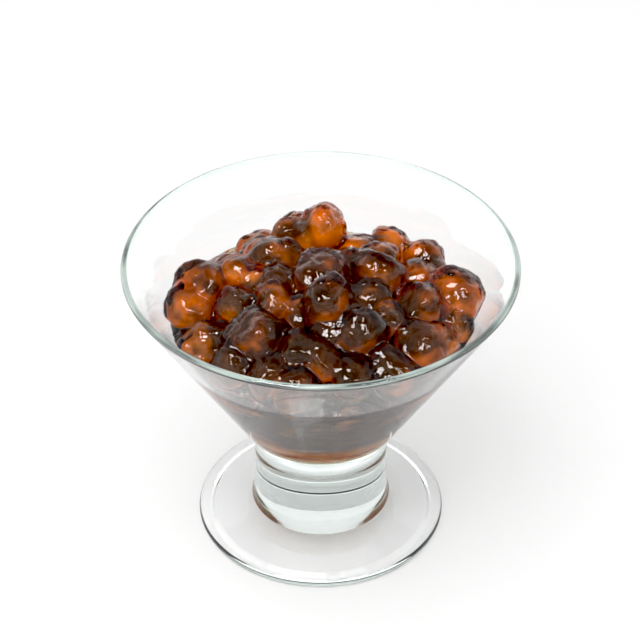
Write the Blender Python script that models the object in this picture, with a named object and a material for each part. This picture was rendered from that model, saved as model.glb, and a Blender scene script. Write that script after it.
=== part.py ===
"""A small footed dessert glass, heaped with tapioca pearls in brown sugar syrup.

Two pieces: the pressed glass, which is one turned solid, and the heap of pearls that fills it.
The axis of the glass is Z, its foot stands on Z = 0, and the side seen first faces -Y.
"""

import math
import random

import bmesh
import bpy
from mathutils import Vector

MM = 0.001

# The glass, in millimetres
RIM_DIAMETER = 96.4
GLASS_HEIGHT = 78.5
CONE_FLARE = 0.594  # how far the wall leans out for each millimetre of height
WALL = 1.9  # measured level, from the outer face of the cone to the inner one
RIM_ROUND = 0.8
STEM_RADIUS = 16.9
STEM_FOOT_RADIUS = 17.5
STEM_FLARE_HEIGHT = 3.2
STEM_SEAM = 0.6  # the small step where the stem grows out of the foot
NECK_ROUND = 0.8  # the small fillet where the cone meets the stem
FOOT_RADIUS = 31.4
FOOT_EDGE = 2.5
FOOT_TOP = 5.7  # height of the foot's upper face where it meets the stem
FOOT_HOLLOW = 0.8  # how far the middle of the underside stands clear
FOOT_HOLLOW_RADIUS = 27.0
FOOT_RING = 28.4  # inner radius of the flat ring that the glass stands on
CAVITY_FLOOR = 31.0
CAVITY_CORNER = 8.0
GLASS_SIDES = 64
GLASS_SHARP = 50  # edges that turn by more degrees than this are drawn sharp

# The heap of pearls, in millimetres
GAP = 0.35  # between the heap and the glass
MOUND_EDGE = 64.5  # height of the pearls' centres along the wall
MOUND_RISE = 8.5  # how much higher they are in the middle
MOUND_RADIUS = 33.0
MOUND_PEAK_Y = 1.0
CORE_DROP = 2.0  # the core's top lies this far under the pearls' centres
CORE_EDGE = 61.0
CORE_RINGS = 7
CORE_SIDES = 36
TRIM_TOP = 108.5  # the heap is trimmed to the cavity's shape up to this height
PEARL_SEGMENTS = 11
PEARL_RINGS = 7
FORM_SEED = 100  # picks which uneven form each pearl has
PEARL_BUMPS = 5
BUMP_HEIGHTS = (-0.16, 0.10)  # as shares of the radius
BUMP_WIDTHS = (0.08, 0.35)
PEARL_FLATS = 7
FLAT_PLACES = (0.80, 0.98)  # how far a flat lies from the middle, as a share of the radius
PEARL_SHARP = 35
PEARL_SWELL = 1.16  # a pearl's radius before its flats, as a share of half its width
FLAT_EDGE = 0.05  # how softly a flat runs out, as a share of the radius
FILL_DIAMETER = 10.5
FILL_DROP = 1.5  # a filling pearl sits this much lower than the mound
FILL_SPACING = 0.60  # a filling pearl keeps this many diameters from its neighbours
FILL_TRIES = 220
GOLDEN_ANGLE = math.pi * (3 - math.sqrt(5))

GLASS_COLOUR = (0.96, 0.98, 0.97)
SYRUP_COLOUR = (0.16, 0.05, 0.015)

# The pearls that show from the front: x, y, width, height, and how far each stands above the mound.
# The rest of the layer follows a rule.
PLACED_PEARLS = (
    # the back row, from left to right
    (-20.5, 6.5, 8.5, 9.0, 0.5),
    (-24.5, 18.0, 8.5, 7.5, -5.5),
    (-22.0, 12.4, 9.0, 8.5, -2.5),
    (-15.5, 21.5, 10.5, 8.5, -1.2),
    (-7.9, 21.5, 8.5, 9.0, 1.3),
    (-5.0, 23.5, 8.5, 9.0, 1.0),
    (-2.9, 19.0, 8.6, 8.6, 1.5),
    (0.5, 20.0, 10.6, 12.6, 3.7),
    (4.9, 26.0, 9.0, 8.0, -4.5),
    (-10.4, 29.5, 9.0, 8.0, -5.0),
    (8.0, 28.5, 9.0, 8.0, -6.0),
    (8.5, 19.0, 9.5, 9.0, -2.2),
    (16.0, 22.0, 12.0, 9.5, -1.3),
    (25.0, 17.0, 11.0, 11.0, -0.5),
    (28.0, 13.5, 7.5, 8.0, 0.5),
    # the row across the middle, with a dip in front of the peak
    (5.6, 12.5, 9.0, 8.0, -5.0),
    (-2.5, 12.5, 9.0, 8.0, -5.0),
    (-28.0, 4.5, 14.0, 12.5, 0.8),
    (-13.0, 9.5, 9.8, 10.5, 1.5),
    (-8.0, 10.5, 8.5, 9.0, 0.5),
    (14.0, 10.0, 11.5, 10.0, 0.0),
    (24.0, 6.0, 10.5, 11.0, -1.0),
    (-31.0, -1.0, 12.0, 14.0, 0.3),
    (32.0, -0.5, 14.4, 13.6, 2.8),
    # the proud pearls of the front
    (-0.5, 0.5, 14.5, 12.0, 0.0),
    (13.5, 1.5, 12.4, 12.0, 1.5),
    (1.0, -12.5, 12.2, 15.0, 3.6),
    (-20.0, -6.0, 9.5, 9.5, 0.0),
    (-11.0, -7.5, 11.5, 11.0, 0.0),
    (-14.5, -18.0, 14.4, 14.0, 0.8),
    (-27.5, -14.5, 11.5, 11.0, 0.0),
    (12.0, -6.0, 12.5, 11.0, -1.0),
    (23.0, -5.5, 12.4, 11.5, 0.0),
    (16.0, -11.5, 9.5, 9.5, -0.5),
    (9.5, -18.0, 12.0, 12.0, 0.5),
    (31.5, -6.0, 10.5, 11.0, -1.0),
    # the lowest row, behind the front of the rim
    (-5.5, -22.0, 11.2, 11.0, 0.0),
    (0.0, -24.5, 11.0, 10.5, -0.5),
    (23.0, -16.5, 12.2, 12.0, 0.0),
    (28.5, -14.0, 9.2, 9.0, 0.0),
    (-21.0, -23.0, 10.5, 10.0, -0.5),
    (-12.0, -27.0, 11.0, 10.5, -1.0),
    (7.5, -27.5, 11.0, 10.5, -1.0),
    (16.5, -25.0, 11.2, 11.0, -0.5),
)


def cone_radius(z):
    """Radius of the outer face of the cone at height z."""
    return RIM_DIAMETER / 2 - CONE_FLARE * (GLASS_HEIGHT - z)


def cone_height(radius):
    """Height at which the outer face of the cone has this radius."""
    return GLASS_HEIGHT - (RIM_DIAMETER / 2 - radius) / CONE_FLARE


def wall_radius(z):
    """Radius of the inner face of the cone at height z."""
    return cone_radius(z) - WALL


def arc(centre, radius, start, end, steps):
    """Points on a circle in the half plane of the profile, from one angle to another, in degrees."""
    angles = [math.radians(start + (end - start) * i / steps) for i in range(steps + 1)]
    return [(centre[0] + radius * math.cos(a), centre[1] + radius * math.sin(a)) for a in angles]


def foot_profile():
    """The underside, the rounded edge and the upper face of the foot, up to the stem."""
    lean = math.degrees(math.atan2(FOOT_TOP - FOOT_EDGE, FOOT_RADIUS - STEM_FOOT_RADIUS))
    edge = FOOT_EDGE / 2
    points = [(0.0, FOOT_HOLLOW), (FOOT_HOLLOW_RADIUS, FOOT_HOLLOW), (FOOT_RING, 0.0)]
    points += arc((FOOT_RADIUS - edge, edge), edge, -90, 90 - lean, 6)
    return points + [(STEM_FOOT_RADIUS + STEM_SEAM, FOOT_TOP)]


def stem_profile():
    """The flare at the foot of the stem, its side and the small round under the cone."""
    flare = STEM_FOOT_RADIUS - STEM_RADIUS
    points = [(STEM_FOOT_RADIUS, FOOT_TOP + STEM_SEAM)]
    for i in range(1, 4):
        share = i / 3
        radius = STEM_RADIUS + flare * (1 - share) ** 2
        points.append((radius, FOOT_TOP + STEM_SEAM + STEM_FLARE_HEIGHT * share))
    neck = cone_height(STEM_RADIUS)
    points.append((STEM_RADIUS, neck - NECK_ROUND))
    points.append((cone_radius(neck + NECK_ROUND), neck + NECK_ROUND))
    return points


def rim_profile():
    """The round lip, from the outer face of the cone to the inner one."""
    lean = math.degrees(math.atan(CONE_FLARE))
    centre = (RIM_DIAMETER / 2 - WALL / 2, GLASS_HEIGHT - RIM_ROUND)
    return arc(centre, RIM_ROUND, -lean, 180 - lean, 6)


def cavity_profile(offset=0.0, top=None):
    """The inside of the bowl from the top of its wall down to the axis, drawn in by offset."""
    lean = math.atan(CONE_FLARE)
    shift = offset / math.cos(lean)
    points = []
    if top is not None:
        points.append((wall_radius(top) - shift, top))
    corner = CAVITY_CORNER - offset
    floor = CAVITY_FLOOR + offset
    centre_z = floor + corner
    # The corner's circle touches both the wall and the floor
    centre_r = wall_radius(centre_z) - shift - corner / math.cos(lean)
    points += arc((centre_r, centre_z), corner, -math.degrees(lean), -90, 5)
    return points + [(0.0, floor)]


def turned(name, profile, sides):
    """A solid turned about Z from a profile in millimetres that starts and ends on the axis."""
    mesh = bpy.data.meshes.new(name)
    shape = bmesh.new()
    points = [shape.verts.new((r * MM, 0.0, z * MM)) for r, z in profile]
    edges = [shape.edges.new(pair) for pair in zip(points, points[1:])]
    bmesh.ops.spin(
        shape, geom=points + edges, cent=(0, 0, 0), axis=(0, 0, 1),
        angle=2 * math.pi, steps=sides, use_merge=True,
    )
    bmesh.ops.remove_doubles(shape, verts=shape.verts, dist=1e-6)
    bmesh.ops.recalc_face_normals(shape, faces=shape.faces)
    shape.to_mesh(mesh)
    shape.free()
    piece = bpy.data.objects.new(name, mesh)
    bpy.context.scene.collection.objects.link(piece)
    return piece


def mound_height(x, y):
    """Height of the pearls' centres at a place on the heap."""
    share = (x * x + (y - MOUND_PEAK_Y) ** 2) / MOUND_RADIUS**2
    return MOUND_EDGE + MOUND_RISE * (1 - share)


def pearl_form(seed):
    """What makes one pearl uneven: its broad bulges and dents, and the flats pressed by its neighbours."""
    draw = random.Random(seed)
    bumps = []
    for _ in range(PEARL_BUMPS):
        place = Vector((draw.gauss(0, 1), draw.gauss(0, 1), draw.gauss(0, 1))).normalized()
        bumps.append((place, draw.uniform(*BUMP_HEIGHTS), draw.uniform(*BUMP_WIDTHS)))
    flats = []
    for _ in range(PEARL_FLATS):
        facing = Vector((draw.gauss(0, 1), draw.gauss(0, 1), draw.gauss(0, 1))).normalized()
        flats.append((facing, draw.uniform(*FLAT_PLACES)))
    return bumps, flats


def pearl_reach(direction, form):
    """How far the surface of a pearl lies from its centre in this direction, as a share of its radius."""
    bumps, flats = form
    reach = PEARL_SWELL
    for place, height, width in bumps:
        reach += height * math.exp((direction.dot(place) - 1) / width)
    near = math.exp(-reach / FLAT_EDGE)
    for facing, distance in flats:
        lean = direction.dot(facing)
        if lean > 0.1:
            near += math.exp(-distance / lean / FLAT_EDGE)
    return -FLAT_EDGE * math.log(near)


def pearl_mesh(name, width, height, seed):
    """One uneven pearl as a closed mesh with few sides."""
    form = pearl_form(seed + FORM_SEED)
    shape = bmesh.new()
    bmesh.ops.create_uvsphere(shape, u_segments=PEARL_SEGMENTS, v_segments=PEARL_RINGS, radius=1.0)
    for vert in shape.verts:
        direction = vert.co.normalized()
        reach = pearl_reach(direction, form) * MM / 2
        vert.co = (direction.x * width * reach, direction.y * width * reach, direction.z * height * reach)
    bmesh.ops.triangulate(shape, faces=shape.faces)
    mesh = bpy.data.meshes.new(name)
    shape.to_mesh(mesh)
    shape.free()
    return mesh


def pearl_places():
    """Centre, width and height of every pearl of the top layer, in millimetres."""
    places = []
    for x, y, width, height, lift in PLACED_PEARLS:
        places.append((Vector((x, y, mound_height(x, y) + lift)), width, height))
    # The rest of the layer fills in along a spiral, from the wall inwards
    for i in range(FILL_TRIES, 0, -1):
        reach = MOUND_RADIUS * math.sqrt(i / FILL_TRIES)
        x = reach * math.cos(i * GOLDEN_ANGLE)
        y = reach * math.sin(i * GOLDEN_ANGLE)
        spot = Vector((x, y, mound_height(x, y) - FILL_DROP))
        room = wall_radius(spot.z) - FILL_DIAMETER * 0.5 - math.hypot(x, y)
        if room < 0:
            continue
        if all((spot - c).length > FILL_SPACING * (FILL_DIAMETER + w) / 2 for c, w, _ in places):
            places.append((spot, FILL_DIAMETER, FILL_DIAMETER))
    return places


def core_profile():
    """The bare heap under the pearls: the cavity up to the pearls' middles."""
    points = [(0.0, mound_height(0.0, MOUND_PEAK_Y) - CORE_DROP)]
    edge = wall_radius(CORE_EDGE) - GAP / math.cos(math.atan(CONE_FLARE))
    top = points[0][1]
    for i in range(1, CORE_RINGS + 1):
        share = i / CORE_RINGS
        points.append((edge * share, top - (top - CORE_EDGE) * share**2))
    return points + cavity_profile(GAP)


def joined_heap(core, pearls, cavity):
    """The core and its pearls as one solid, kept clear of the glass."""
    union = core.modifiers.new("pearls", "BOOLEAN")
    union.operand_type = "COLLECTION"
    union.collection = pearls
    union.operation = "UNION"
    union.solver = "MANIFOLD"
    trim = core.modifiers.new("wall", "BOOLEAN")
    trim.object = cavity
    trim.operation = "INTERSECT"
    trim.solver = "MANIFOLD"
    graph = bpy.context.evaluated_depsgraph_get()
    joined = bpy.data.meshes.new_from_object(core.evaluated_get(graph))
    core.modifiers.clear()
    core.data = joined
    for helper in [*pearls.objects, cavity]:
        bpy.data.objects.remove(helper)
    bpy.data.collections.remove(pearls)
    return core


def largest_body(piece):
    """Drops any loose scrap that trimming against the wall left."""
    shape = bmesh.new()
    shape.from_mesh(piece.data)
    bmesh.ops.remove_doubles(shape, verts=shape.verts, dist=2e-5)
    shape.verts.ensure_lookup_table()
    seen, bodies = set(), []
    for start in shape.verts:
        if start in seen:
            continue
        body, queue = [], [start]
        seen.add(start)
        while queue:
            vert = queue.pop()
            body.append(vert)
            for edge in vert.link_edges:
                other = edge.other_vert(vert)
                if other not in seen:
                    seen.add(other)
                    queue.append(other)
        bodies.append(body)
    bodies.sort(key=len)
    for body in bodies[:-1]:
        bmesh.ops.delete(shape, geom=body, context="VERTS")
    shape.to_mesh(piece.data)
    shape.free()


def material(name, colour, roughness, transmission, ior):
    """A plain glossy material with the colour and clearness of the real thing."""
    finish = bpy.data.materials.new(name)
    finish.use_nodes = True
    shader = finish.node_tree.nodes["Principled BSDF"]
    shader.inputs["Base Color"].default_value = (*colour, 1.0)
    shader.inputs["Roughness"].default_value = roughness
    shader.inputs["Transmission Weight"].default_value = transmission
    shader.inputs["IOR"].default_value = ior
    return finish


def make_glass():
    """The foot, stem and bowl, pressed from one gather of glass."""
    profile = foot_profile() + stem_profile() + rim_profile() + cavity_profile()
    glass = turned("glass", profile, GLASS_SIDES)
    glass.data.shade_smooth()
    glass.data.set_sharp_from_angle(angle=math.radians(GLASS_SHARP))
    glass.data.materials.append(material("clear_glass", GLASS_COLOUR, 0.03, 1.0, 1.52))
    return glass


def make_heap():
    """The heap of pearls, stuck together by their syrup."""
    core = turned("tapioca_pearls", core_profile(), CORE_SIDES)
    cavity = turned("cavity", [(0.0, TRIM_TOP), *cavity_profile(GAP, TRIM_TOP)], CORE_SIDES)
    pearls = bpy.data.collections.new("pearls")
    bpy.context.scene.collection.children.link(pearls)
    for number, (centre, width, height) in enumerate(pearl_places()):
        name = f"pearl_{number:02d}"
        pearl = bpy.data.objects.new(name, pearl_mesh(name, width, height, number))
        pearl.location = centre * MM
        pearls.objects.link(pearl)
    bpy.context.view_layer.update()
    heap = joined_heap(core, pearls, cavity)
    largest_body(heap)
    heap.data.materials.clear()
    heap.data.materials.append(material("tapioca_in_syrup", SYRUP_COLOUR, 0.08, 0.0, 1.42))
    heap.data.shade_smooth()
    heap.data.set_sharp_from_angle(angle=math.radians(PEARL_SHARP))
    return heap


def main():
    for obj in list(bpy.data.objects):
        bpy.data.objects.remove(obj)
    make_glass()
    make_heap()


main()
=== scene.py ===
"""The looks of a small footed dessert glass, heaped with tapioca pearls in brown sugar syrup."""

import math
import random

import bmesh
import bpy
import numpy as np
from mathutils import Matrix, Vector, noise


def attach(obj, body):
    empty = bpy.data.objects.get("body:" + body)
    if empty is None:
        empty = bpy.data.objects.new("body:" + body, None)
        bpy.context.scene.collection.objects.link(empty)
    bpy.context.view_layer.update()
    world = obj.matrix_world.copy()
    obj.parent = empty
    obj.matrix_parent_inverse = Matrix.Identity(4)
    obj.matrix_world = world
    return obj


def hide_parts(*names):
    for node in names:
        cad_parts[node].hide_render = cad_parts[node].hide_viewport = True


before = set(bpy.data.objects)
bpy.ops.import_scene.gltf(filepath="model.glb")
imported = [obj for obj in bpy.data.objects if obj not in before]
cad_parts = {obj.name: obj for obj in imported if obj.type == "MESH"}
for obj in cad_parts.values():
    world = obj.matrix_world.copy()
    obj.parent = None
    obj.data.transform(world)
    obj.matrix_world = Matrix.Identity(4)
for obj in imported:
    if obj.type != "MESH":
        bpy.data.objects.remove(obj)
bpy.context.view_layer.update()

MM = 0.001
IMAGE_SIDE = 640

# The photograph's camera, fitted to the rim, the foot and the sides of the glass
CAMERA_PLACE = (0.0, -0.4677, 0.4211)
CAMERA_TILT = math.radians(52.374)
CAMERA_TURN = 0.0004
FOCAL_PIXELS = 2414.3
SENSOR = 36.0

# The glass, in millimetres, as the CAD has it
GLASS_HEIGHT = 78.5
RIM_RADIUS = 48.2
CONE_FLARE = 0.594
WALL = 1.9
RIM_ROUND = 0.8
STEM_RADIUS = 16.9
STEM_FOOT_RADIUS = 17.5
STEM_FLARE_HEIGHT = 3.2
STEM_SEAM = 0.6
SEAM_BEVEL = 0.15
NECK_ROUND = 0.8
NECK_BEVEL = (0.12, 0.10)  # outwards and down
FOOT_RADIUS = 31.4
FOOT_EDGE = 2.5
FOOT_TOP = 5.7
FOOT_HOLLOW = 0.8
FOOT_HOLLOW_RADIUS = 27.0
FOOT_RING = 28.4
CAVITY_FLOOR = 31.0
CAVITY_CORNER = 8.0
INTO_WALL = 0.5  # the contents reach this far into the wall, so that no air shows between them

# How finely the turned shapes are made
GLASS_SIDES = 256
HEAP_SIDES = 96
ROUND_STEPS = 16
CORNER_STEPS = 12
STEM_STEPS = 8
MOUND_STEPS = 12
LONG_STRAIGHT = 1.5
END_SUPPORT = 0.15
SHARP_ANGLE = math.radians(40)
SAME_PLACE = 1e-6  # points closer than this, in metres, are joined

# The heap of pearls, in millimetres
MOUND_EDGE = 64.5
MOUND_RISE = 8.5
MOUND_RADIUS = 33.0
MOUND_PEAK_Y = 1.0
SYRUP_DROP = 1.4  # the syrup lies this far under the pearls' centres
SYRUP_EDGE = 61.5
FILL_DIAMETER = 10.5
FILL_DROP = 1.5
FILL_SPACING = 0.60
FILL_TRIES = 220
GOLDEN_ANGLE = math.pi * (3 - math.sqrt(5))
VOXEL = 0.49
PEARL_SUBDIVISIONS = 5
HEAP_EASES = 6  # rounds of smoothing
EASE = 0.5  # how far each round goes

# One pearl, in shares of its radius
FORM_SEED = 100  # picks which uneven form each pearl has
PEARL_SWELL = 1.16  # its radius before its flats
PEARL_BUMPS = 5
BUMP_HEIGHTS = (-0.16, 0.10)
BUMP_WIDTHS = (0.08, 0.35)
PEARL_FLATS = 7
FLAT_DISTANCES = (0.80, 0.98)
FLAT_EDGE = 0.05  # how softly a flat runs out
FLAT_LEAN = 0.1  # cosine of the widest angle from a flat's middle at which it counts
RIPPLE = 0.03
RIPPLE_RATE = 3.1
RIPPLE_DRIFT = (3.7, 1.3, 2.9)

# The folds in the pearls' wet skin, in millimetres
FOLD_WIDTH = 2.6
FOLD_HEIGHT = 0.55
FOLD_FADE = 2.0  # they die out over this distance towards the wall and the syrup's edge
FOLD_START = 1.0  # under the syrup's edge
FINE_FOLDS = 0.35  # height of the finer folds among them, as a share
FINE_RATE = 2.3
PRESS_REACH = 0.35  # what is this near to the wall lies flat in it
AXIS_GUARD = 1e-6

# The inner body of the heap, in millimetres
CORE_DROP = 3.0  # it lies this far under the pearls' centres
CORE_INSET = 2.5  # and this far inside the wall
CORE_FLOOR = 33.2
HEART_SHARE = 0.70  # width of a pearl's inner body, as a share of its own
HEART_SINK = 0.06  # how far it lies under its pearl's middle, as a share of the height
HEART_VOXEL = 0.6
HEART_SUBDIVISIONS = 4
HEART_EASES = 8

# The glass's material, with lengths in millimetres
GLASS_INDEX = 1.5
GLASS_KEEPS = (0.2, 0.8, 0.6)  # the colour that light keeps on its way through
GLASS_DENSITY = 3.0
LIP_SHEEN_FADE = (1.1, 0.5)  # how far under the top the lip's painted pale sheen begins, and where it is full
# the lip's painted sheen: a pale colour that stands for its bright reflections, tinted with the
# glass's own green
PAINTED_LIP_SHEEN = (0.80, 0.94, 0.87)
LIP_SHEEN_CLEAR = (0.86, 0.50)  # how clear the lip is in and between its painted reflection streaks
SHEEN_STREAK_RATES = (70.0, 70.0, 1600.0)  # the painted reflection streaks run along the lip
SHEEN_STREAK_EDGES = (0.36, 0.64)

# The gel of the pearls
GEL_INDEX = 1.42
GEL_ROUGHNESS = 0.03
GEL_KEEPS = (0.88, 0.61, 0.0)
GEL_DENSITY = 450.0
WRINKLE_RATE = 420.0
WRINKLE_TWIST = 1.2
WRINKLE_STRENGTH = 0.5
WRINKLE_HEIGHT = 0.5

# The heap is painted darkest, as shade, round this place, in metres, and painted amber, as light
# shining through, at the far end of the reach
PAINTED_SHADE_MIDDLE = (0.0, -0.023, 0.066)
SHADE_TO_GLOW_REACH = (0.012, 0.048)
PAINTED_OUTER_GLOW = 0.31
# painted glow: light that comes out again low on each pearl is painted into its colour
PAINTED_LOW_SIDE_GLOW = 0.30
LOW_SIDE = (0.55, -0.35)  # the upward part of the normal, from no such glow to all of it
PAINTED_DEEP_SHADE = 0.70  # painted shade: what is left of this painted glow deep in the glass
PAINTED_SHADE_HEIGHTS = (50.0, 66.0)
STEM_GLOW_EDGE = (6.5, 3.0)  # where the painted glow of light from the stem begins and where it is full, above the core's floor
# painted glow: the colour of the light that comes up through the stem
PAINTED_STEM_GLOW = (1.0, 0.80, 0.35)
CLOUD_RATE = 130.0
CORE_ROUGHNESS = 0.8
# The colours from painted shade, dark brown, to painted glow, amber
PAINTED_GLOW_STOPS = (
    (0.40, (0.022, 0.009, 0.003)),
    (0.66, (0.085, 0.032, 0.008)),
    (1.00, (0.90, 0.38, 0.06)),
)

# The table top
FLOOR_GREY = 0.62
FLOOR_GLOW = 0.26
FLOOR_ROUGHNESS = 0.6
FLOOR_SIZE = 4.0
FLOOR_HEIGHT = -0.00005

# The room is white all round, and dark in the part of the ceiling that faces this way
DARK_CEILING = (0.0, -0.35, 0.94)
CEILING_EDGE = (0.72, 0.86)  # from white to dark, by the cosine of the angle from its middle
ROOM_WHITE = 0.90
ROOM_DARK = 0.10
LOW_WALLS = 0.80  # how much brighter the walls are near the floor
LOW_WALLS_EDGE = (0.50, 0.15)  # the sines of the heights at which that begins and is full

# The soft boxes: name, azimuth, elevation, distance, size, radiance, and whether it lights the
# scene or shows in mirror images alone. Azimuth 0 is the camera's side, and positive to its right.
LIGHTS = (
    ("key", -32, 60, 1.3, (0.9, 1.1), 4.0, True),
    ("key_gloss", -28, 60, 1.25, (0.6, 0.6), 20.0, False),
    ("fill", 40, 50, 1.3, (0.4, 0.7), 1.7, True),
    ("fill_gloss", 40, 52, 1.25, (0.25, 0.5), 12.0, False),
    ("lamp", 2, 64, 1.2, (0.07, 0.05), 160.0, False),
)
AIM_HEIGHT = 0.05
BLACK_LEVEL = 0.016
BOUNCES = 24
BRIGHTEST_BOUNCE = 8.0

# The pearls that show from the front: x, y, width, height, and how far each stands above the mound
PLACED_PEARLS = (
    # the back row, from left to right
    (-20.5, 6.5, 8.5, 9.0, 0.5),
    (-24.5, 18.0, 8.5, 7.5, -5.5),
    (-22.0, 12.4, 9.0, 8.5, -2.5),
    (-15.5, 21.5, 10.5, 8.5, -1.2),
    (-7.9, 21.5, 8.5, 9.0, 1.3),
    (-5.0, 23.5, 8.5, 9.0, 1.0),
    (-2.9, 19.0, 8.6, 8.6, 1.5),
    (0.5, 20.0, 10.6, 12.6, 3.7),
    (4.9, 26.0, 9.0, 8.0, -4.5),
    (-10.4, 29.5, 9.0, 8.0, -5.0),
    (8.0, 28.5, 9.0, 8.0, -6.0),
    (8.5, 19.0, 9.5, 9.0, -2.2),
    (16.0, 22.0, 12.0, 9.5, -1.3),
    (25.0, 17.0, 11.0, 11.0, -0.5),
    (28.0, 13.5, 7.5, 8.0, 0.5),
    # the row across the middle, with a dip in front of the peak
    (5.6, 12.5, 9.0, 8.0, -5.0),
    (-2.5, 12.5, 9.0, 8.0, -5.0),
    (-28.0, 4.5, 14.0, 12.5, 0.8),
    (-13.0, 9.5, 9.8, 10.5, 1.5),
    (-8.0, 10.5, 8.5, 9.0, 0.5),
    (14.0, 10.0, 11.5, 10.0, 0.0),
    (24.0, 6.0, 10.5, 11.0, -1.0),
    (-31.5, -1.5, 12.0, 13.0, -0.2),
    (32.0, -0.5, 14.4, 13.6, 2.8),
    # the proud pearls of the front
    (-0.5, 0.5, 14.5, 12.0, 0.0),
    (13.5, 1.5, 12.4, 12.0, 1.5),
    (1.0, -12.5, 12.2, 15.0, 3.6),
    (-20.0, -6.0, 9.5, 9.5, 0.0),
    (-11.0, -7.5, 11.5, 11.0, 0.0),
    (-14.5, -18.0, 14.4, 14.0, 0.8),
    (-27.5, -14.5, 11.5, 11.0, 0.0),
    (12.0, -6.0, 12.5, 11.0, -1.0),
    (23.0, -5.5, 12.4, 11.5, 0.0),
    (16.0, -11.5, 9.5, 9.5, -0.5),
    (9.5, -18.0, 12.0, 12.0, 0.5),
    (31.5, -6.0, 10.5, 11.0, -1.0),
    # the lowest row, behind the front of the rim
    (-5.5, -22.0, 11.2, 11.0, 0.0),
    (0.0, -24.5, 11.0, 10.5, -0.5),
    (23.0, -16.5, 12.2, 12.0, 0.0),
    (28.5, -14.0, 9.2, 9.0, 0.0),
    (-21.0, -23.0, 10.5, 10.0, -0.5),
    (-12.0, -27.0, 11.0, 10.5, -1.0),
    (7.5, -27.5, 11.0, 10.5, -1.0),
    (16.5, -25.0, 11.2, 11.0, -0.5),
)


def cone_radius(z):
    """Radius of the outer face of the cone at height z."""
    return RIM_RADIUS - CONE_FLARE * (GLASS_HEIGHT - z)


def cone_height(radius):
    """Height at which the outer face of the cone has this radius."""
    return GLASS_HEIGHT - (RIM_RADIUS - radius) / CONE_FLARE


def wall_radius(z):
    """Radius of the inner face of the cone at height z."""
    return cone_radius(z) - WALL


def arc(centre, radius, start, end, steps):
    """Points on a circle in the half plane of the profile, from one angle to another, in degrees."""
    angles = [math.radians(start + (end - start) * i / steps) for i in range(steps + 1)]
    return [(centre[0] + radius * math.cos(a), centre[1] + radius * math.sin(a)) for a in angles]


def mound_height(x, y):
    """Height of the pearls' centres at a place on the heap."""
    share = (x * x + (y - MOUND_PEAK_Y) ** 2) / MOUND_RADIUS**2
    return MOUND_EDGE + MOUND_RISE * (1 - share)


def random_direction(draw):
    """A direction drawn evenly from all."""
    return Vector((draw.gauss(0, 1), draw.gauss(0, 1), draw.gauss(0, 1))).normalized()


def pearl_form(seed):
    """What makes one pearl uneven: its bulges and dents, and the flats pressed by its neighbours."""
    draw = random.Random(seed)
    bumps = []
    for _ in range(PEARL_BUMPS):
        place = random_direction(draw)
        bumps.append((place, draw.uniform(*BUMP_HEIGHTS), draw.uniform(*BUMP_WIDTHS)))
    flats = []
    for _ in range(PEARL_FLATS):
        facing = random_direction(draw)
        flats.append((facing, draw.uniform(*FLAT_DISTANCES)))
    return bumps, flats


def pearl_reach(direction, form):
    """How far a pearl's surface lies from its centre in this direction, as a share of its radius."""
    bumps, flats = form
    reach = PEARL_SWELL
    for place, height, width in bumps:
        reach += height * math.exp((direction.dot(place) - 1) / width)
    near = math.exp(-reach / FLAT_EDGE)
    for facing, distance in flats:
        lean = direction.dot(facing)
        if lean > FLAT_LEAN:
            near += math.exp(-distance / lean / FLAT_EDGE)
    return -FLAT_EDGE * math.log(near)


def pearl_places():
    """Centre, width and height of every pearl of the top layer, in millimetres."""
    places = []
    for x, y, width, height, lift in PLACED_PEARLS:
        places.append((Vector((x, y, mound_height(x, y) + lift)), width, height))
    # The rest of the layer fills in along a spiral, from the wall inwards
    for i in range(FILL_TRIES, 0, -1):
        reach = MOUND_RADIUS * math.sqrt(i / FILL_TRIES)
        x = reach * math.cos(i * GOLDEN_ANGLE)
        y = reach * math.sin(i * GOLDEN_ANGLE)
        spot = Vector((x, y, mound_height(x, y) - FILL_DROP))
        room = wall_radius(spot.z) - FILL_DIAMETER * 0.5 - math.hypot(x, y)
        if room < 0:
            continue
        if all((spot - c).length > FILL_SPACING * (FILL_DIAMETER + w) / 2 for c, w, _ in places):
            places.append((spot, FILL_DIAMETER, FILL_DIAMETER))
    return places


def add_pearl(shape, centre, width, height, seed, subdivisions):
    """One uneven pearl, added to a mesh."""
    form = pearl_form(seed + FORM_SEED)
    made = bmesh.ops.create_icosphere(shape, subdivisions=subdivisions, radius=1.0)
    drift = Vector([seed * step for step in RIPPLE_DRIFT])
    for vert in made["verts"]:
        direction = vert.co.normalized()
        ripple = 1 + RIPPLE * noise.noise(direction * RIPPLE_RATE + drift)
        reach = pearl_reach(direction, form) * ripple / 2
        point = Vector((direction.x * width, direction.y * width, direction.z * height)) * reach
        vert.co = (point + centre) * MM


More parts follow.
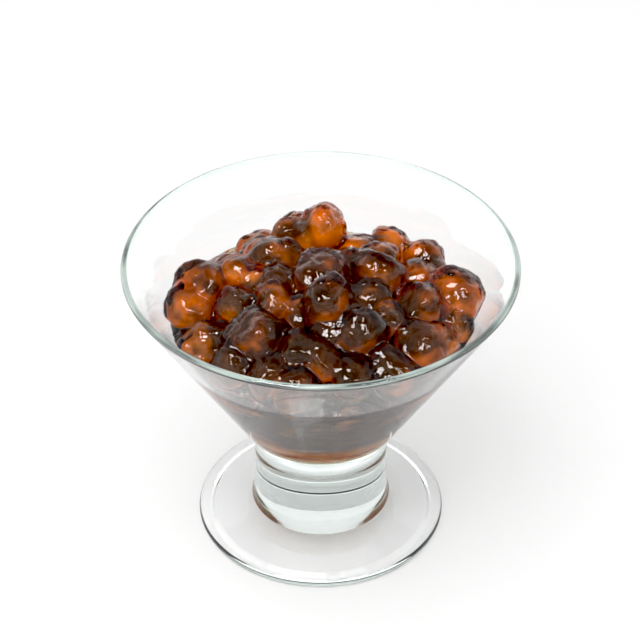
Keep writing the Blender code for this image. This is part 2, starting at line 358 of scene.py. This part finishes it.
def glass_profile():
    """The outline of the glass, from the middle of its underside round to the middle of its cavity."""
    lean = math.degrees(math.atan2(FOOT_TOP - FOOT_EDGE, FOOT_RADIUS - STEM_FOOT_RADIUS))
    edge = FOOT_EDGE / 2
    points = [(0.0, FOOT_HOLLOW), (FOOT_HOLLOW_RADIUS, FOOT_HOLLOW), (FOOT_RING, 0.0)]
    points += arc((FOOT_RADIUS - edge, edge), edge, -90, 90 - lean, ROUND_STEPS)
    points.append((STEM_FOOT_RADIUS + STEM_SEAM, FOOT_TOP))
    points.append((STEM_FOOT_RADIUS + SEAM_BEVEL, FOOT_TOP + SEAM_BEVEL))
    for i in range(STEM_STEPS + 1):
        share = i / STEM_STEPS
        radius = STEM_RADIUS + (STEM_FOOT_RADIUS - STEM_RADIUS) * (1 - share) ** 2
        points.append((radius, FOOT_TOP + STEM_SEAM + STEM_FLARE_HEIGHT * share))
    neck = cone_height(STEM_RADIUS)
    points.append((STEM_RADIUS, neck - NECK_ROUND))
    points.append((STEM_RADIUS + NECK_BEVEL[0], neck - NECK_BEVEL[1]))
    points.append((cone_radius(neck + NECK_ROUND), neck + NECK_ROUND))
    lean = math.degrees(math.atan(CONE_FLARE))
    lip = (RIM_RADIUS - WALL / 2, GLASS_HEIGHT - RIM_ROUND)
    points += arc(lip, RIM_ROUND, -lean, 180 - lean, ROUND_STEPS)
    return supported(points + cavity_profile(0.0))


def supported(profile):
    """The profile with a point near each end of its long straights, which keeps their shading flat."""
    points = [profile[0]]
    for start, end in zip(profile, profile[1:]):
        length = math.dist(start, end)
        if length > LONG_STRAIGHT:
            share = END_SUPPORT / length
            for part in (share, 1 - share):
                points.append(tuple(a + (b - a) * part for a, b in zip(start, end)))
        points.append(end)
    return points


def cavity_profile(offset, top=None):
    """The inside of the bowl down to the axis, moved into the glass by offset, from top if given."""
    lean = math.atan(CONE_FLARE)
    shift = offset / math.cos(lean)
    corner = CAVITY_CORNER + offset
    centre_z = CAVITY_FLOOR - offset + corner
    centre_r = wall_radius(centre_z) + shift - corner / math.cos(lean)
    points = [] if top is None else [(wall_radius(top) + shift, top)]
    points += arc((centre_r, centre_z), corner, -math.degrees(lean), -90, CORNER_STEPS)
    return points + [(0.0, CAVITY_FLOOR - offset)]


def mound_profile(drop, edge_height, offset):
    """The top of a mound in the bowl, from its middle to just before its edge.

    It lies under the pearls' centres by drop, and its edge is moved into the glass by offset.
    """
    top = mound_height(0.0, MOUND_PEAK_Y) - drop
    edge = wall_radius(edge_height) + offset / math.cos(math.atan(CONE_FLARE))
    points = [(0.0, top)]
    for i in range(1, MOUND_STEPS):
        share = i / MOUND_STEPS
        points.append((edge * share, top - (top - edge_height) * share**2))
    return points


def add_turned(shape, profile, sides):
    """A solid turned about Z from a profile in millimetres, added to a mesh."""
    points = [shape.verts.new((r * MM, 0.0, z * MM)) for r, z in profile]
    edges = [shape.edges.new(pair) for pair in zip(points, points[1:])]
    bmesh.ops.spin(
        shape, geom=points + edges, cent=(0, 0, 0), axis=(0, 0, 1),
        angle=2 * math.pi, steps=sides, use_merge=True,
    )


def new_object(name, shape):
    """An object made from a bmesh, which is then freed."""
    mesh = bpy.data.meshes.new(name)
    shape.to_mesh(mesh)
    shape.free()
    piece = bpy.data.objects.new(name, mesh)
    bpy.context.scene.collection.objects.link(piece)
    return piece


def closed_object(name, shape):
    """An object made from closed solids, with their seams joined and their faces turned outwards."""
    bmesh.ops.remove_doubles(shape, verts=shape.verts, dist=SAME_PLACE)
    bmesh.ops.recalc_face_normals(shape, faces=shape.faces)
    return new_object(name, shape)


def melted_object(name, shape, voxel, eases):
    """An object made from overlapping solids, melted into one and smoothed."""
    piece = closed_object(name, shape)
    melt = piece.modifiers.new("melt", "REMESH")
    melt.mode = "VOXEL"
    melt.voxel_size = voxel * MM
    ease = piece.modifiers.new("ease", "SMOOTH")
    ease.factor = EASE
    ease.iterations = eases
    graph = bpy.context.evaluated_depsgraph_get()
    mesh = bpy.data.meshes.new_from_object(piece.evaluated_get(graph))
    piece.modifiers.clear()
    old, piece.data = piece.data, mesh
    bpy.data.meshes.remove(old)
    return piece


def make_glass():
    """The glass, turned finely enough to be round in its own reflections."""
    shape = bmesh.new()
    add_turned(shape, glass_profile(), GLASS_SIDES)
    piece = closed_object("dessert_glass", shape)
    piece.data.shade_smooth()
    piece.data.set_sharp_from_angle(angle=SHARP_ANGLE)
    return piece


def make_core():
    """The inner body of the heap, which follows the pearls some way under their skin."""
    shape = bmesh.new()
    top = mound_profile(CORE_DROP, SYRUP_EDGE - CORE_DROP, -CORE_INSET)
    side = cavity_profile(-CORE_INSET, SYRUP_EDGE - CORE_DROP)
    add_turned(shape, top + [(r, max(z, CORE_FLOOR)) for r, z in side], HEAP_SIDES)
    for number, (centre, width, height) in enumerate(pearl_places()):
        low = centre - Vector((0, 0, HEART_SINK * height))
        size = (width * HEART_SHARE, height * HEART_SHARE)
        add_pearl(shape, low, *size, number, HEART_SUBDIVISIONS)
    piece = melted_object("deep_pearls", shape, HEART_VOXEL, HEART_EASES)
    piece.data.shade_smooth()
    return piece


def make_heap():
    """All pearls and the syrup between them, as one wet surface."""
    shape = bmesh.new()
    top = mound_profile(SYRUP_DROP, SYRUP_EDGE, INTO_WALL)
    add_turned(shape, top + cavity_profile(INTO_WALL, SYRUP_EDGE), HEAP_SIDES)
    for number, (centre, width, height) in enumerate(pearl_places()):
        add_pearl(shape, centre, width, height, number, PEARL_SUBDIVISIONS)
    piece = melted_object("pearls_in_syrup", shape, VOXEL, HEAP_EASES)
    fold_skin(piece)
    press_to_wall(piece)
    piece.data.shade_smooth()
    return piece


def mesh_values(source, name):
    """One vector for each vertex of a mesh, as rows."""
    values = np.empty(len(source) * 3, dtype=np.float32)
    source.foreach_get(name, values)
    return values.reshape(len(source), 3)


def move_vertices(piece, points):
    """Puts the vertices of a piece at these points, in millimetres."""
    piece.data.vertices.foreach_set("co", (points * MM).astype(np.float32).ravel())
    piece.data.update()


def wall_reach(points):
    """The radius of the face that the contents are pressed into, and each point's own radius."""
    limit = wall_radius(points[:, 2]) + INTO_WALL / math.cos(math.atan(CONE_FLARE))
    radius = np.hypot(points[:, 0], points[:, 1])
    return limit, radius


def fold_skin(piece):
    """Soft folds in the wet skin of the pearls, which leave the wall and the syrup's edge alone."""
    points = mesh_values(piece.data.vertices, "co") / MM
    normals = mesh_values(piece.data.vertex_normals, "vector")
    limit, radius = wall_reach(points)
    share = np.clip((limit - radius) / FOLD_FADE, 0, 1)
    share *= np.clip((points[:, 2] - SYRUP_EDGE + FOLD_START) / FOLD_FADE, 0, 1)
    folds = np.zeros(len(points))
    for i in np.flatnonzero(share > 0):
        place = Vector(points[i]) / FOLD_WIDTH
        folds[i] = noise.noise(place) + FINE_FOLDS * noise.noise(place * FINE_RATE)
    points += normals * (folds * share * FOLD_HEIGHT)[:, None]
    move_vertices(piece, points)


def press_to_wall(piece):
    """Whatever reaches the glass lies flat in its face, and nothing stands out of it."""
    points = mesh_values(piece.data.vertices, "co") / MM
    limit, radius = wall_reach(points)
    near = (radius > limit - PRESS_REACH) & (points[:, 2] > CAVITY_FLOOR + CAVITY_CORNER)
    scale = np.where(near, limit / np.maximum(radius, AXIS_GUARD), 1.0)
    points[:, 0] *= scale
    points[:, 1] *= scale
    move_vertices(piece, points)


def set_inputs(node, values):
    """Sets a node's inputs by their names."""
    for name, value in values.items():
        node.inputs[name].default_value = value


def new_node(tree, kind, values):
    """A new node with these values in its inputs."""
    node = tree.nodes.new(kind)
    set_inputs(node, values)
    return node


def new_math(tree, operation, *inputs):
    """The output of a Math node, whose inputs are numbers or outputs of other nodes."""
    node = tree.nodes.new("ShaderNodeMath")
    node.operation = operation
    for socket, value in zip(node.inputs, inputs):
        if isinstance(value, bpy.types.NodeSocket):
            tree.links.new(value, socket)
        else:
            socket.default_value = value
    return node.outputs["Value"]


def mapped(tree, source, start, end, low=0.0, high=1.0):
    """A Map Range node, which takes start to low and end to high."""
    values = {"From Min": start, "From Max": end, "To Min": low, "To Max": high}
    node = new_node(tree, "ShaderNodeMapRange", values)
    tree.links.new(source, node.inputs["Value"])
    return node


def object_place(tree):
    """The place on the piece, in its own frame."""
    return tree.nodes.new("ShaderNodeTexCoord").outputs["Object"]


def upward_part(tree, source):
    """The Z of a vector output."""
    split = tree.nodes.new("ShaderNodeSeparateXYZ")
    tree.links.new(source, split.inputs["Vector"])
    return split.outputs["Z"]


def height_mask(tree, low, high, at_low=0.0):
    """Runs from at_low at one height to 1 at another, in millimetres above the table."""
    height = upward_part(tree, object_place(tree))
    return mapped(tree, height, low * MM, high * MM, at_low).outputs["Result"]


def new_noise(tree, place, values):
    """The output of a Noise Texture node at this place."""
    node = new_node(tree, "ShaderNodeTexNoise", values)
    tree.links.new(place, node.inputs["Vector"])
    return node.outputs["Fac"]


def mixed_colour(tree, share, colour, other):
    """From colour, which may be a node's output, to the other colour, by share."""
    mix = tree.nodes.new("ShaderNodeMix")
    mix.data_type = "RGBA"
    tree.links.new(share, mix.inputs["Factor"])
    if isinstance(colour, bpy.types.NodeSocket):
        tree.links.new(colour, mix.inputs["A"])
    else:
        mix.inputs["A"].default_value = (*colour, 1.0)
    mix.inputs["B"].default_value = (*other, 1.0)
    return mix.outputs["Result"]


def new_material(name, values):
    """A new material, its node tree and its shader, which has these values in its inputs."""
    finish = bpy.data.materials.new(name)
    finish.use_nodes = True
    shader = finish.node_tree.nodes["Principled BSDF"]
    set_inputs(shader, values)
    return finish, finish.node_tree, shader


def absorb(tree, colour, density):
    """Lets the material take colour out of light by the length of its way through it."""
    values = {"Color": (*colour, 1.0), "Density": density}
    volume = new_node(tree, "ShaderNodeVolumeAbsorption", values)
    tree.links.new(volume.outputs["Volume"], tree.nodes["Material Output"].inputs["Volume"])


def glass_material():
    """Clear pressed glass with a faint green tint where light runs far through it, and a lip painted
    pale, as a painted sheen for its bright reflections.
    """
    finish, tree, shader = new_material("clear_glass", {"Roughness": 0.0, "IOR": GLASS_INDEX})
    lip = height_mask(tree, GLASS_HEIGHT - LIP_SHEEN_FADE[0], GLASS_HEIGHT - LIP_SHEEN_FADE[1])
    # The lip's painted sheen, which stands for its reflections, runs along it in thin streaks
    place = object_place(tree)
    stretch = new_node(tree, "ShaderNodeMapping", {"Scale": SHEEN_STREAK_RATES})
    tree.links.new(place, stretch.inputs["Vector"])
    streaks = new_noise(tree, stretch.outputs["Vector"], {"Scale": 1.0, "Detail": 1.0})
    painted_shine = mapped(tree, streaks, *SHEEN_STREAK_EDGES, *LIP_SHEEN_CLEAR)
    clear = mapped(tree, lip, 0.0, 1.0, low=1.0)
    tree.links.new(painted_shine.outputs["Result"], clear.inputs["To Max"])
    tree.links.new(clear.outputs["Result"], shader.inputs["Transmission Weight"])
    # Painted sheen: the lip's colour is made pale where its reflections are painted
    tint = mixed_colour(tree, lip, (1.0, 1.0, 1.0), PAINTED_LIP_SHEEN)
    tree.links.new(tint, shader.inputs["Base Color"])
    absorb(tree, GLASS_KEEPS, GLASS_DENSITY)
    return finish


def pearl_material():
    """Amber gel, wet with syrup, that darkens with depth."""
    finish, tree, shader = new_material("tapioca_in_syrup", {
        "Base Color": (1.0, 1.0, 1.0, 1.0),
        "Roughness": GEL_ROUGHNESS,
        "IOR": GEL_INDEX,
        "Transmission Weight": 1.0,
    })
    absorb(tree, GEL_KEEPS, GEL_DENSITY)
    values = {"Scale": WRINKLE_RATE, "Detail": 1.0, "Distortion": WRINKLE_TWIST}
    wrinkles = new_noise(tree, object_place(tree), values)
    values = {"Strength": WRINKLE_STRENGTH, "Distance": WRINKLE_HEIGHT * MM}
    relief = new_node(tree, "ShaderNodeBump", values)
    tree.links.new(wrinkles, relief.inputs["Height"])
    tree.links.new(relief.outputs["Normal"], shader.inputs["Normal"])
    return finish


def core_material():
    """Painted shade and light: dark brown in the middle of the front, and amber where light is painted
    as coming in at the back and sides.
    """
    finish, tree, shader = new_material("deep_tapioca", {"Roughness": CORE_ROUGHNESS})
    place = object_place(tree)
    clouds = new_noise(tree, place, {"Scale": CLOUD_RATE, "Detail": 2.0})
    # Painted shade round the middle of the front, and painted amber glow towards the back and sides
    distance = tree.nodes.new("ShaderNodeVectorMath")
    distance.operation = "DISTANCE"
    distance.inputs[1].default_value = PAINTED_SHADE_MIDDLE
    tree.links.new(place, distance.inputs[0])
    reach = mapped(tree, distance.outputs["Value"], *SHADE_TO_GLOW_REACH).outputs["Result"]
    # A painted glow, for light that comes out again low on each pearl, where its body faces sideways
    # or down
    facing = tree.nodes.new("ShaderNodeNewGeometry")
    painted_low_side = mapped(tree, upward_part(tree, facing.outputs["Normal"]), *LOW_SIDE).outputs["Result"]
    glow = new_math(tree, "MULTIPLY_ADD", painted_low_side, PAINTED_LOW_SIDE_GLOW, clouds)
    glow = new_math(tree, "MULTIPLY_ADD", reach, PAINTED_OUTER_GLOW, glow)
    # Deep in the glass the contents are painted as one dark mass of shade, with a painted bright
    # bottom edge for the light that comes up through the stem
    deep = height_mask(tree, *PAINTED_SHADE_HEIGHTS, PAINTED_DEEP_SHADE)
    shaded = new_math(tree, "MULTIPLY", glow, deep)
    painted_stem_glow = height_mask(tree, *(CORE_FLOOR + height for height in STEM_GLOW_EDGE))
    ramp = tree.nodes.new("ShaderNodeValToRGB")
    stops = ramp.color_ramp.elements
    stops.new(PAINTED_GLOW_STOPS[1][0])
    for stop, (position, colour) in zip(stops, PAINTED_GLOW_STOPS):
        stop.position = position
        stop.color = (*colour, 1.0)
    tree.links.new(shaded, ramp.inputs["Fac"])
    # The painted glow of the light through the stem, mixed into the bottom edge
    colour = mixed_colour(tree, painted_stem_glow, ramp.outputs["Color"], PAINTED_STEM_GLOW)
    tree.links.new(colour, shader.inputs["Base Color"])
    return finish


def floor_material():
    """A pale matt table top."""
    finish, _, _ = new_material("pale_floor", {
        "Base Color": (FLOOR_GREY, FLOOR_GREY, FLOOR_GREY, 1.0),
        "Emission Color": (1.0, 1.0, 1.0, 1.0),
        "Emission Strength": FLOOR_GLOW,
        "Roughness": FLOOR_ROUGHNESS,
    })
    return finish


def make_floor():
    """The surface that the glass stands on."""
    shape = bmesh.new()
    bmesh.ops.create_grid(shape, x_segments=1, y_segments=1, size=FLOOR_SIZE)
    floor = new_object("floor", shape)
    floor.location.z = FLOOR_HEIGHT
    floor.data.materials.append(floor_material())


def make_camera():
    """The photograph's camera."""
    data = bpy.data.cameras.new("camera")
    data.sensor_width = SENSOR
    data.lens = FOCAL_PIXELS * SENSOR / IMAGE_SIDE
    camera = bpy.data.objects.new("camera", data)
    camera.location = CAMERA_PLACE
    camera.rotation_euler = (CAMERA_TILT, 0.0, CAMERA_TURN)
    bpy.context.scene.collection.objects.link(camera)
    bpy.context.scene.camera = camera


def make_light(name, azimuth, elevation, distance, size, radiance, shines):
    """A soft box that looks at the glass, as a row of LIGHTS says."""
    turn, rise = math.radians(azimuth), math.radians(elevation)
    level = math.cos(rise)
    away = Vector((math.sin(turn) * level, -math.cos(turn) * level, math.sin(rise)))
    data = bpy.data.lights.new(name, "AREA")
    data.shape = "RECTANGLE"
    data.size, data.size_y = size
    data.energy = radiance * math.pi * size[0] * size[1]
    lamp = bpy.data.objects.new(name, data)
    lamp.location = away * distance + Vector((0, 0, AIM_HEIGHT))
    lamp.rotation_euler = (-away).to_track_quat("-Z", "Y").to_euler()
    lamp.visible_diffuse = shines
    lamp.visible_transmission = shines
    lamp.visible_glossy = not shines
    bpy.context.scene.collection.objects.link(lamp)


def make_world():
    """A white room with a dark ceiling between the soft boxes."""
    world = bpy.data.worlds.new("surroundings")
    world.use_nodes = True
    tree = world.node_tree
    view = tree.nodes.new("ShaderNodeTexCoord").outputs["Generated"]
    towards = tree.nodes.new("ShaderNodeVectorMath")
    towards.operation = "DOT_PRODUCT"
    towards.inputs[1].default_value = DARK_CEILING
    tree.links.new(view, towards.inputs[0])
    light = mapped(tree, towards.outputs["Value"], *CEILING_EDGE, ROOM_WHITE, ROOM_DARK)
    light.interpolation_type = "SMOOTHSTEP"
    low = mapped(tree, upward_part(tree, view), *LOW_WALLS_EDGE, high=LOW_WALLS)
    low.interpolation_type = "SMOOTHSTEP"
    both = new_math(tree, "ADD", light.outputs["Result"], low.outputs["Result"])
    background = tree.nodes["Background"]
    background.inputs["Color"].default_value = (1.0, 1.0, 1.0, 1.0)
    tree.links.new(both, background.inputs["Strength"])
    bpy.context.scene.world = world


def set_view():
    """Plain colours, and noise removed."""
    scene = bpy.context.scene
    scene.view_settings.view_transform = "Standard"
    scene.view_settings.use_curve_mapping = True
    scene.view_settings.curve_mapping.black_level = (BLACK_LEVEL, BLACK_LEVEL, BLACK_LEVEL)
    scene.view_settings.curve_mapping.update()
    scene.cycles.use_denoising = True
    scene.cycles.max_bounces = BOUNCES
    scene.cycles.transmission_bounces = BOUNCES
    scene.cycles.sample_clamp_indirect = BRIGHTEST_BOUNCE


make_camera()
make_world()
for row in LIGHTS:
    make_light(*row)
make_floor()
set_view()

glass = make_glass()
glass.data.materials.append(glass_material())
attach(glass, "root")
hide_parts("glass")

heap = make_heap()
heap.data.materials.append(pearl_material())
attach(heap, "root")
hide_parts("tapioca_pearls")

core = make_core()
core.data.materials.append(core_material())
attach(core, "root")
